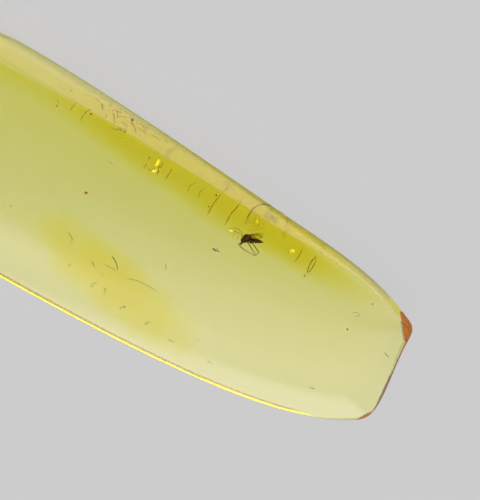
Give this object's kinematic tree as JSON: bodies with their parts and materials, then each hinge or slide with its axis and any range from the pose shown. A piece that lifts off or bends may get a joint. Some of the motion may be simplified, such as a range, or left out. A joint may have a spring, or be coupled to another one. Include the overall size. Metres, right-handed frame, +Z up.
{
  "type": "insect in amber",
  "caption": "Polished tongue of clear yellow amber, flat below and bevelled along one side, with a small long-legged fly sealed inside it.",
  "frame": {"origin": "on the flat base, under the middle of the piece's bounding box", "axes": "+X along the tongue from its round end to its straight end, +Y across it to its bevelled side, +Z up from the base to the polished top face"},
  "size_m": [0.057, 0.0192, 0.0064],
  "materials": {
    "amber": "polished",
    "cuticle": "satin"
  },
  "bodies": {
    "root": {"amber_lower": "amber", "amber_upper": "amber", "fly": "cuticle"}
  },
  "joints": []
}
